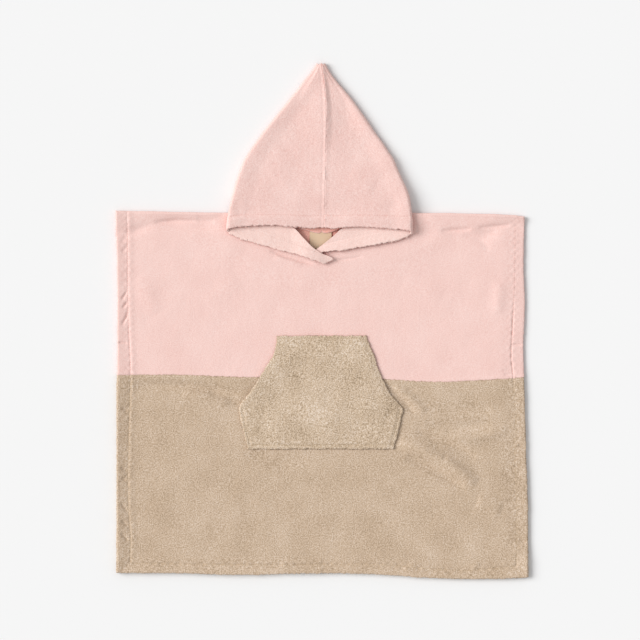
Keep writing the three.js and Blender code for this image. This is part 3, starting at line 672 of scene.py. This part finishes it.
def hood_ground(x, y, behind):
    """What the lower layer lies on: the front, the shoulder roll, and the floor past it."""
    past = np.maximum(0, y - SHOULDER_LINE)
    before = drape(FRONT_TOP + GAP, past)
    into_hole = np.maximum(0, NECK_HALF - np.abs(x))
    on_shoulder = drape(FRONT_TOP + GAP, np.hypot(into_hole, past))
    nape = neck_back(np.clip(x, -NECK_HALF, NECK_HALF))
    at_nape = drape(CLOTH + GAP, np.maximum(0, y - nape - NAPE_REACH))
    return np.where(behind, np.maximum(on_shoulder, at_nape), before)


def beside_the_seam(x, y):
    """Cloth comes up slowly to the centre seam from the left. At its right it drops, steeply at
    first and then more and more slowly."""
    off, depth = x - centre_seam(y), step_depth(y)
    left = RISE_SHARE * smooth(0, RISE_REACH, -off)
    steep = STEEP_SHARE * smooth(STEEP_START, 1, off / step_reach(y))
    slow, slow_at_seam = [SLOW_SHARE * smooth(SLOW_START, SLOW_REACH, place) for place in (off, 0.0)]
    return depth * (RISE_SHARE - np.where(off < 0, left, steep + slow - slow_at_seam))


def seam_relief(x, y):
    """The centre seam's narrow ridge, uneven along its length."""
    off = x - centre_seam(y) - 0.3 * at(CLUMPS, 0 * x, y)
    strength = 0.26 + 0.2 * smooth(230, 320, y) + 0.25 * at(CLUMPS, 50 + 0 * x, y)
    return strength * np.exp(-((off + 0.3) / 2.3) ** 2) - 0.2 * np.exp(-((off + 4.2) / 1.6) ** 2)


def distance_along(points):
    """How far each point of a grid lies from its first row, seen from above."""
    steps = np.linalg.norm(np.diff(points[..., :2], axis=0), axis=-1)
    return np.concatenate([np.zeros_like(steps[:1]), np.cumsum(steps, axis=0)])


def beside(*parts):
    """Grids set next to each other, as one."""
    return np.concatenate(parts, axis=1)


def hood_layers(rows, side):
    """The wall over a fine grid: its middle, its outward direction, half its thickness, the relief
    of its outer and inner face, and the distance from the face edge."""
    direction = -1 if side == "left" else 1
    keys = np.arange(len(rows))
    top_y, side_x, side_y, seam_x, seam_y = [curve(list(zip(keys, column))) for column in zip(*rows)]
    # Sections from the face edge to the tip, and places on each from the centre seam out
    sections = np.linspace(0.5, len(rows) - 1, int(HOOD_LENGTH / HOOD_STEP))
    v = np.concatenate([np.linspace(0, 0.35, 5), sections])[:, None]
    places = np.linspace(0.07, 1, int(HOOD_REACH / HOOD_STEP))
    share = np.concatenate([np.linspace(0, 0.06, 12), places])[None, :]
    along = np.stack([np.gradient(side_x(v[:, 0]), v[:, 0]), np.gradient(side_y(v[:, 0]), v[:, 0])], axis=-1)
    along /= np.linalg.norm(along, axis=1, keepdims=True)
    out_x, out_y = direction * np.abs(along[:, 1:2]), np.abs(along[:, 0:1])
    hem = 1 - smooth(1.0, 2.2, v)
    half = (CLOTH + HOOD_HEM_EXTRA * hem) / 2
    reach = HOOD_FOLD_RADIUS + half
    fold_x, fold_y = side_x(v) - out_x * reach, side_y(v) - out_y * reach
    near_face = np.clip(1 - v / 4, 0, 1)
    # Upper layer, from the centre seam out. It hangs evenly from the front down to the lower
    # layer, and sags a little over the neck opening.
    ty = top_y(v)
    cx = centre_seam(ty) + SEAM_LAPS[side]
    x = cx + (fold_x - cx) * share
    y = ty + (fold_y - ty) * share
    y = y + near_face * forehead_bow(x)
    lift = HOOD_FOLD_RISE * (1 - smooth(0, HOOD_FOLD_REACH, np.hypot(fold_x - x, fold_y - y)))
    sag = 2.2 * np.exp(-((x + 4) / 26) ** 2 - ((y - FACE_EDGE) / 22) ** 2)
    hang = (FRONT_TOP + GAP) * (1 - smooth(150, 275, y)) + 1.2 * (1 - smooth(350, 372, y))
    settle = 1 - smooth(0.7, 1, share)
    z = hang + CLOTH + GAP + half + HOOD_HEM_EXTRA * hem + lift - sag + beside_the_seam(x, y) * settle
    upper = np.stack([x, y, z], axis=-1)
    from_face = distance_along(upper)
    stitched = (-0.6 * np.exp(-((from_face - HEM_DEPTH) / 1.4) ** 2)
                + 0.5 * np.exp(-((from_face - HEM_DEPTH / 2) / 5) ** 2))
    sunk = -0.4 * smooth(-1.0, 0.6, direction * (centre_seam(ty) - x))
    upper_relief = seam_relief(x, y) + stitched + fold_rise(x, y, HOOD_FOLDS) + sunk
    # Fold at the side, which hangs lower at the corner of the face edge
    droop = left_droop if side == "left" else right_droop
    corner = droop(fold_x)
    top = z[:, -1:]
    behind = v >= HOOD_BACK_ROW

    def lower_z(lx, ly):
        crossing = np.zeros_like(lx)
        if side == "left":
            over_right = smooth(CROSSING_START, CROSSING_END, lx) * (0.45 + 0.55 * smooth(84, 103, ly))
            crossing = (CLOTH + HOOD_HEM_EXTRA + GAP) * np.where(behind, 0.0, over_right)
        return hood_ground(lx, ly, behind) + crossing + half

    bottom = lower_z(fold_x, fold_y)
    turn = np.linspace(0, 1, 11)[None, 1:-1]
    angles = math.pi * (0.5 - turn)
    ring = HOOD_FOLD_RADIUS * np.cos(angles)
    ring_y = fold_y + out_y * ring - near_face * corner * turn
    ring_y = ring_y + near_face * (1 - turn) * forehead_bow(fold_x)
    ring_z = (top + bottom) / 2 + (top - bottom) / 2 * np.sin(angles)
    fold = np.stack([fold_x + out_x * ring, ring_y, ring_z], axis=-1)
    fold_out = np.stack(np.broadcast_arrays(out_x * np.cos(angles), out_y * np.cos(angles), np.sin(angles)),
                        axis=-1)
    # Lower layer, from the fold in to the neck or to the centre seam behind
    x = fold_x + (seam_x(v) - fold_x) * share
    y = fold_y + (seam_y(v) - fold_y) * share - near_face * droop(x)
    lower = np.stack([x, y, lower_z(x, y)], axis=-1)
    from_face_below = distance_along(lower)
    curl = 1.9 * (1 - smooth(0, 14, from_face_below)) * np.sin(math.pi * np.clip(share, 0, 1)) ** 0.5
    lower[..., 2] += curl
    # The crossed end of the left cheek goes flat where it is caught in the neck seam
    tip = smooth(-6, 8, x) * near_face if side == "left" else 0.0
    lower_relief = -0.5 * np.exp(-((from_face_below - HEM_DEPTH) / 1.1) ** 2) - 1.6 * tip
    up = np.array([0.0, 0.0, 1.0])
    middle = beside(upper, fold, lower)
    out = beside(np.broadcast_to(up, upper.shape), fold_out, np.broadcast_to(-up, lower.shape))
    rest = np.zeros(fold.shape[:2])
    outer_relief = beside(upper_relief, rest, np.zeros_like(lower_relief))
    inner_relief = beside(np.zeros_like(upper_relief), rest, lower_relief)
    from_face = beside(from_face, rest + from_face[:, -1:], from_face_below)
    return v[:, 0], (middle, out, half, outer_relief, inner_relief, from_face)


def closed_wall(middle, out, half, outer_relief, inner_relief, from_face, turn):
    """Outer and inner face of a wall of cloth with rounded rims, as one closed grid."""
    outer = raise_pile(middle + out * (half + outer_relief)[..., None], HOOD_PILE, turn)
    inner = raise_pile(middle - out * (half + inner_relief)[..., None], HOOD_PILE, turn + 40)
    n, m = middle.shape[:2]
    # The rim runs round the edge of the grid, a little outside it, so that the edge is rounded
    sheet = np.zeros((n + 2, 2 * (m + 1), 3))
    sheet[1:-1, :m] = outer
    sheet[1:-1, m + 1:-1] = inner[:, ::-1]
    sheet[1:-1, m] = middle[:, -1] + (middle[:, -1] - middle[:, -2]) * 0.6
    sheet[1:-1, -1] = middle[:, 0] + (middle[:, 0] - middle[:, 1]) * 0.4
    for end, near in ((0, 1), (-1, -2)):
        step_out = (middle[0] - middle[1]) if end == 0 else (middle[-1] - middle[-2]) * 0.3
        rim = middle[end] + step_out
        sheet[end, :m] = rim
        sheet[end, m + 1:-1] = rim[::-1]
        sheet[end, m] = sheet[near, m]
        sheet[end, -1] = sheet[near, -1]
    weight = np.zeros(sheet.shape[:2])
    weight[1:-1, :m] = 1 - smooth(0, 4, from_face)
    weight[1:-1, m + 1:-1] = (1 - smooth(0, 4, from_face))[:, ::-1]
    weight[0] = 1
    sheet = make_ragged(sheet, weight, 0.7)
    return beside(sheet, sheet[:, :1])


# The hood's terry is the blush painted a little darker, as painted shade
hood_painted_shade_terry = terry("blush_cotton_terry_painted_darker_on_the_hood", "#D49F94", "#EDC9C1", "#FCE9E3", "#BE5C52",
                   0.5, 0.05, 0.28, 0.25, 0.55)
# The cheeks' inner face is the blush painted paler, as a painted highlight
inner_face_painted_highlight_terry = terry("inner_face_of_blush_cotton_terry_with_painted_highlight", "#DEACA1", "#F2D2C9", "#FDEDE7", "#BE5C52",
                     0.45, 0.05, 0.12, 0.25, 0.21)


def hood_half(name, node, rows, side, turn):
    """One half of the hood. Where the face edge falls forward its inner face is painted paler, as a
    painted highlight, and down in the neck it is painted a fuller blush, as painted bounce light."""
    v, layers = hood_layers(rows, side)
    sheet = closed_wall(*layers, turn)
    n, m = sheet.shape[:2]
    front_rows = np.count_nonzero(v < HOOD_BACK_ROW - 0.4)
    painted_light_faces = np.zeros((n - 1, m - 1), int)
    painted_light_faces[:front_rows, m // 2:-1] = 1
    neck_rows = np.count_nonzero(layers[0][:, -1, 1] < NECK_SHOWS_BELOW)
    painted_light_faces[front_rows:neck_rows, m // 2:-1] = 2
    if side == "right":
        sheet, painted_light_faces = sheet[::-1], painted_light_faces[::-1]
    piece = mesh_from_grids(name, [(sheet, None)], hood_painted_shade_terry, closed=True,
                            lining=([inner_face_painted_highlight_terry, painted_bounce_terry], painted_light_faces))
    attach(piece, "root")
    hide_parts(node)
    return piece


hood_left = hood_half("hood_left_half", "hood_left", HOOD_LEFT, "left", 31)
hood_right = hood_half("hood_right_half", "hood_right", HOOD_RIGHT, "right", 67)

# Kangaroo pocket
# One shaped patch of sand terry, stitched down along its top, bottom and lower sides. The two
# slanted mouths between them are left open and stand a little off the front.
POCKET_TOP, POCKET_BOTTOM = -20.7, -185.8
POCKET_WIDTH = 228.0
MOUTH_END = -124  # below this height the sides are stitched down
FAR = 99.0  # out of reach of any stitch line
pocket_left = curve([(-185.8, -108.2), (-164, -114), (-142, -118.5), (-127, -121), (-120, -118.5),
                     (-109, -108.5), (-96, -99.5), (-82, -91), (-64, -80), (-50, -71.5),
                     (-34.5, -67), (-20.7, -65.7)])
pocket_right = curve([(-185.8, 105), (-164, 110.5), (-142, 115.5), (-127, 118), (-120, 112.5),
                      (-109, 102.5), (-96, 94.5), (-82, 88), (-64, 81), (-50, 76), (-34.5, 69.5),
                      (-20.7, 64.8)])
pocket_mouth = curve([(-127, 0), (-120, 0.25), (-109, 0.7), (-96, 0.95), (-82, 1), (-64, 0.85),
                      (-50, 0.6), (-34.5, 0.25), (-22, 0)])
POCKET_FOLDS = [
    ([(-40, -84), (0, -88), (52, -84)], 10, -0.8),
    ([(-84, -140), (-30, -128), (30, -146)], 18, 0.9),
    ([(60, -120), (96, -136)], 10, 0.8),
    ([(-52, -50), (-30, -66)], 10, 0.6),
]


def from_both_edges(length):
    """Places from edge to edge, as shares of a length, and the share of the height at each."""
    edge = margin(2.0, (8, 4))
    inner = np.arange(edge[-1][0] + FINE_STEP, length / 2, FINE_STEP)
    ins = [d for d, _ in edge] + list(inner)
    heights = [f for _, f in edge] + [1.0] * len(inner)
    places = [d / length for d in ins] + [1 - d / length for d in ins[::-1]]
    return np.array(places), np.array(heights + heights[::-1])


def pocket_grid():
    """The pocket's points: a full panel, pressed down at its stitches, off the cloth at its mouths."""
    height = POCKET_TOP - POCKET_BOTTOM
    across, side_share = from_both_edges(POCKET_WIDTH)
    ups, up_share = from_both_edges(height)
    part, up = np.meshgrid(across, ups, indexing="ij")
    y = POCKET_BOTTOM + up * height
    x = pocket_left(y) + part * (pocket_right(y) - pocket_left(y))
    from_side = np.minimum(part, 1 - part) * (pocket_right(y) - pocket_left(y))
    from_bottom, from_top = y - POCKET_BOTTOM, POCKET_TOP - y
    stands_off = np.where(part < 0.5, 2.6, 0.7)
    mouth = stands_off * pocket_mouth(y) * (1 - smooth(0, 46, from_side))
    right_side = np.where(part > 0.5, from_side, FAR)
    pressed = 0.9 * (1 - smooth(2, 10, np.minimum(from_bottom, right_side)))
    full = 1.2 * np.sin(math.pi * up) * np.sin(math.pi * part)
    sewn_side = np.where(y < MOUTH_END, from_side, FAR)
    groove = (np.exp(-((from_bottom - 5.8) / 1.3) ** 2)
              + 0.9 * np.exp(-((from_top - 3.6) / 1.2) ** 2)
              + 0.7 * np.exp(-((sewn_side - 5.6) / 1.3) ** 2) * smooth(4, 6, from_bottom))
    low = 2 * CLOTH + 2 * GAP + mouth
    high = low + CLOTH + full + 0.5 - groove - pressed + fold_rise(x, y, POCKET_FOLDS)
    share = side_share[:, None] * up_share[None, :]
    points = np.stack([x, y, low + (high - low) * share], axis=-1)
    from_edge = np.minimum(from_side, np.minimum(from_bottom, from_top))
    return make_ragged(points, 1 - smooth(0, 4, from_edge), 0.5)


POCKET_PILE = (0.16, 0.05, 0.03, 0.25)
pocket_terry = terry("long_looped_sand_cotton_terry", "#7A654D", "#CBB49A", "#F5E6D8", "#A67C54",
                     0.95, 0.1, 0.42, 0.45, 0.93)
pocket_points = raise_pile(pocket_grid(), POCKET_PILE, 51)
pocket = mesh_from_grids("kangaroo_pocket", [(pocket_points, None)], pocket_terry)
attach(pocket, "root")
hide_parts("pocket")

# Neck label
# A short piece of flat woven cotton tape, caught in the seam at the nape. It is left bare.
LABEL_LEFT, LABEL_RIGHT, LABEL_BOTTOM, LABEL_TOP = -18.0, 14.5, 106.0, 131.5
TAPE, TAPE_LIFT = 0.6, 0.9  # its thickness, and how far up from the gap its upper face lies
TAPE_CURL, CURL_REACH = 0.5, 14
RIB_SCALE = 4.8  # the wave comes back after 0.314 of this, so every 1.5 mm


def woven_tape():
    """Flat cotton tape, woven with fine ribs across it and a low sheen."""
    material, tree, place = empty_material("woven_cotton_tape")
    # Ribs 1.5 mm apart, drawn coarser than the real 0.4 mm so that they show
    ribs = add(tree, "TexWave", {"wave_type": "BANDS", "bands_direction": "Y", "Distortion": 0.6,
                                 "Scale": 1 / (RIB_SCALE * MM), "Detail": 1},
               {"Vector": place}).outputs["Fac"]
    ramp = add(tree, "ValToRGB", {}, {"Fac": ribs})
    stops = ramp.color_ramp.elements
    stops[0].color, stops[1].color = linear("#D7B998"), linear("#E8CFB3")
    bump = add(tree, "Bump", {"Strength": 0.4, "Distance": 0.2 * MM}, {"Height": ribs})
    surface = add(tree, "BsdfPrincipled",
                  {"Roughness": 0.75, "Specular IOR Level": 0.3, "Sheen Weight": 0.1},
                  {"Base Color": ramp.outputs["Color"], "Normal": bump.outputs["Normal"]})
    add(tree, "OutputMaterial", {}, {"Surface": surface.outputs[0]})
    return material


def label_grid():
    """The label's points: upper face, rims and lower face, its top end curling up a little."""
    xs = np.linspace(LABEL_LEFT, LABEL_RIGHT, 34)
    ys = np.linspace(LABEL_BOTTOM, LABEL_TOP, 26)
    x, y = np.meshgrid(xs, ys, indexing="ij")
    curl = TAPE_CURL * smooth(LABEL_TOP - CURL_REACH, LABEL_TOP, y) + 0.25 * np.sin((x - LABEL_LEFT) / 8)
    upper = np.stack([x, y, CLOTH + GAP + TAPE_LIFT + curl], axis=-1)
    lower = upper - np.array([0, 0, TAPE])
    rim = (upper + lower) / 2
    sheet = np.concatenate([rim[:1], upper, rim[-1:], lower[::-1], rim[:1]], axis=0)
    first, last = sheet[:, :1].copy(), sheet[:, -1:].copy()
    first[..., 2], last[..., 2] = first[..., 2].mean(), last[..., 2].mean()
    return np.concatenate([first, sheet, last], axis=1)


label = mesh_from_grids("neck_label", [(label_grid(), None)], woven_tape(), closed=True)
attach(label, "root")
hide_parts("label")

# Stitches
# The rows of lockstitch that hold down the hems, the pocket and the hood's face edge, in cotton
# thread near the cloth's colour. They sink into the pile, and each lies on the cloth under it.
STITCH_PITCH, STITCH_LENGTH, THREAD = 3.6, 2.5, 0.5
FIRST_STITCH, STITCH_LIFT = 0.6, 0.1  # from the start of a line, and up off the pile
STITCH_SIDES = 6
STITCH_RINGS = [(-0.5, 0.35), (-0.3, 1.0), (0.3, 1.0), (0.5, 0.35)]  # place along it, and girth
LOOK_FROM = 100.0  # height from which the cloth under a stitch is found
POCKET_IN = 5.7  # how far the pocket's stitch lines lie inside its sides


def cotton_thread(name, colour):
    """Twisted cotton sewing thread, matt, its plies too fine to show but for a fine bump."""
    material, tree, place = empty_material(name)
    plies = add(tree, "TexNoise", {"Scale": 1 / (0.4 * MM)}, {"Vector": place}).outputs["Fac"]
    bump = add(tree, "Bump", {"Strength": 0.4, "Distance": 0.1 * MM}, {"Height": plies})
    surface = add(tree, "BsdfPrincipled", {"Base Color": linear(colour), "Roughness": 0.8},
                  {"Normal": bump.outputs["Normal"]})
    add(tree, "OutputMaterial", {}, {"Surface": surface.outputs[0]})
    return material


def stitch_ends(cloth, path):
    """Both ends of each stitch along a path of (x, y), a little above the cloth."""
    path = np.array(path, float)
    legs = np.concatenate([[0], np.cumsum(np.linalg.norm(np.diff(path, axis=0), axis=1))])
    for start in np.arange(FIRST_STITCH, legs[-1] - STITCH_LENGTH, STITCH_PITCH):
        hits = []
        for far in (start, start + STITCH_LENGTH):
            x, y = [np.interp(far, legs, path[:, k]) * MM for k in (0, 1)]
            hits.append(cloth.ray_cast(Vector((x, y, LOOK_FROM * MM)), Vector((0, 0, -1)))[0])
        if None not in hits:
            yield [np.array(hit) / MM + np.array([0, 0, STITCH_LIFT]) for hit in hits]


def stitches(name, paths, on, material):
    """Rounded stitches along paths, laid on a piece of cloth, as one joined mesh."""
    cloth = BVHTree.FromObject(on, bpy.context.evaluated_depsgraph_get())
    turns = np.linspace(0, 2 * math.pi, STITCH_SIDES + 1)[:-1]
    vertices, faces = [], []
    for low, high in [ends for path in paths for ends in stitch_ends(cloth, path)]:
        along = high - low
        side = np.array([-along[1], along[0], 0]) / np.hypot(along[0], along[1])
        round_it = [np.cos(turn) * side + np.array([0, 0, np.sin(turn)]) for turn in turns]
        first = len(STITCH_RINGS) * STITCH_SIDES * len(vertices)
        last = first + (len(STITCH_RINGS) - 1) * STITCH_SIDES
        vertices.append(np.array([(low + high) / 2 + along * place + THREAD / 2 * girth * outward
                                  for place, girth in STITCH_RINGS for outward in round_it]))
        for ring in range(first, last, STITCH_SIDES):
            for k in range(STITCH_SIDES):
                a, b = ring + k, ring + (k + 1) % STITCH_SIDES
                faces.append((a, b, b + STITCH_SIDES, a + STITCH_SIDES))
        faces.append(tuple(range(first, first + STITCH_SIDES))[::-1])
        faces.append(tuple(range(last, last + STITCH_SIDES)))
    mesh = bpy.data.meshes.new(name)
    mesh.from_pydata(np.concatenate(vertices) * MM, [], faces)
    mesh.shade_smooth()
    mesh.materials.append(material)
    piece = placed(name, mesh)
    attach(piece, "root")
    return piece


def path_along(line, places, upright=False):
    """A path over a hem's stitch line, across the body or, if upright, up it."""
    return [(line(k), k) if upright else (k, line(k)) for k in places]


sand_thread = cotton_thread("sand_cotton_thread", "#CDB898")
blush_thread = cotton_thread("blush_cotton_thread", "#E6BBB0")
stitches("lower_front_stitches", [path_along(left_hem_line, np.arange(-352, -82, 6), True),
                                  path_along(right_hem_line, np.arange(-356, -90, 6), True),
                                  path_along(bottom_hem_line, np.arange(-279, 283, 6))],
         front_lower, sand_thread)
stitches("upper_body_stitches", [path_along(left_hem_line, np.arange(-72, 150, 6), True),
                                 path_along(right_hem_line, np.arange(-78, 144, 6), True)],
         yoke, blush_thread)
foot = -180.0
# The pocket's left side, bottom, right side and top
pocket_paths = [
    path_along(lambda y: pocket_left(y) + POCKET_IN, np.arange(-127, -179, -4), True),
    [(pocket_left(foot) + POCKET_IN, foot), (pocket_right(foot) - POCKET_IN, foot)],
    path_along(lambda y: pocket_right(y) - POCKET_IN, np.arange(-179, -126, 4), True),
    [(-64, -24.3), (64, -24.3)],
]
stitches("pocket_stitches", pocket_paths, pocket, sand_thread)
# The hood's face edge: its stitches follow half of its bow
for half_name, half, start, end in (("left", hood_left, -134, 0), ("right", hood_right, 3, 128)):
    brow = [(x, FACE_EDGE + HEM_DEPTH - 0.013 * abs(x) + forehead_bow(x) * 0.5)
            for x in np.arange(start, end, 4)]
    stitches("hood_" + half_name + "_stitches", [brow], half, blush_thread)

# Floor, light and camera
# A plain pale studio floor, one large soft light from the left and a little from the top, and an
# even surround. The camera looks straight down, as the photograph was taken.
PIXEL = 1.46  # millimetres for each pixel of the 640 pixel frame
FRAME_PIXELS = 640
CAMERA_HEIGHT = 6.0  # metres
CAMERA_X, CAMERA_Y = -2.8, 2.3  # where the middle of the picture lies
SENSOR = 36.0
FLOOR_HALF, FLOOR_DROP = 6, 0.0004  # metres


def plain_floor():
    """Matt white paper."""
    material = bpy.data.materials.new("matt_white_paper")
    material.use_nodes = True
    surface = material.node_tree.nodes["Principled BSDF"]
    surface.inputs["Base Color"].default_value = linear("#F0F0F0")
    surface.inputs["Roughness"].default_value = 0.9
    surface.inputs["Specular IOR Level"].default_value = 0.1
    return material


floor_mesh = bpy.data.meshes.new("floor")
corners = [(-FLOOR_HALF, -FLOOR_HALF), (FLOOR_HALF, -FLOOR_HALF), (FLOOR_HALF, FLOOR_HALF),
           (-FLOOR_HALF, FLOOR_HALF)]
floor_mesh.from_pydata([(x, y, -FLOOR_DROP) for x, y in corners], [], [(0, 1, 2, 3)])
floor_mesh.materials.append(plain_floor())
floor = placed("floor", floor_mesh)

world = bpy.data.worlds.new("studio")
world.use_nodes = True
world.node_tree.nodes["Background"].inputs["Color"].default_value = (1, 1, 1, 1)
world.node_tree.nodes["Background"].inputs["Strength"].default_value = 0.55
bpy.context.scene.world = world
key = placed("key_light", bpy.data.lights.new("key_light", "SUN"))
key.data.energy = 2.65
key.data.angle = math.radians(38)
key.rotation_euler = (0, math.radians(-53), math.radians(-13))

camera = placed("camera", bpy.data.cameras.new("camera"))
camera.data.sensor_width = SENSOR
camera.data.lens = SENSOR * CAMERA_HEIGHT / (FRAME_PIXELS * PIXEL * MM)
camera.location = (CAMERA_X * MM, CAMERA_Y * MM, CAMERA_HEIGHT)
bpy.context.scene.camera = camera
bpy.context.scene.view_settings.view_transform = "Standard"
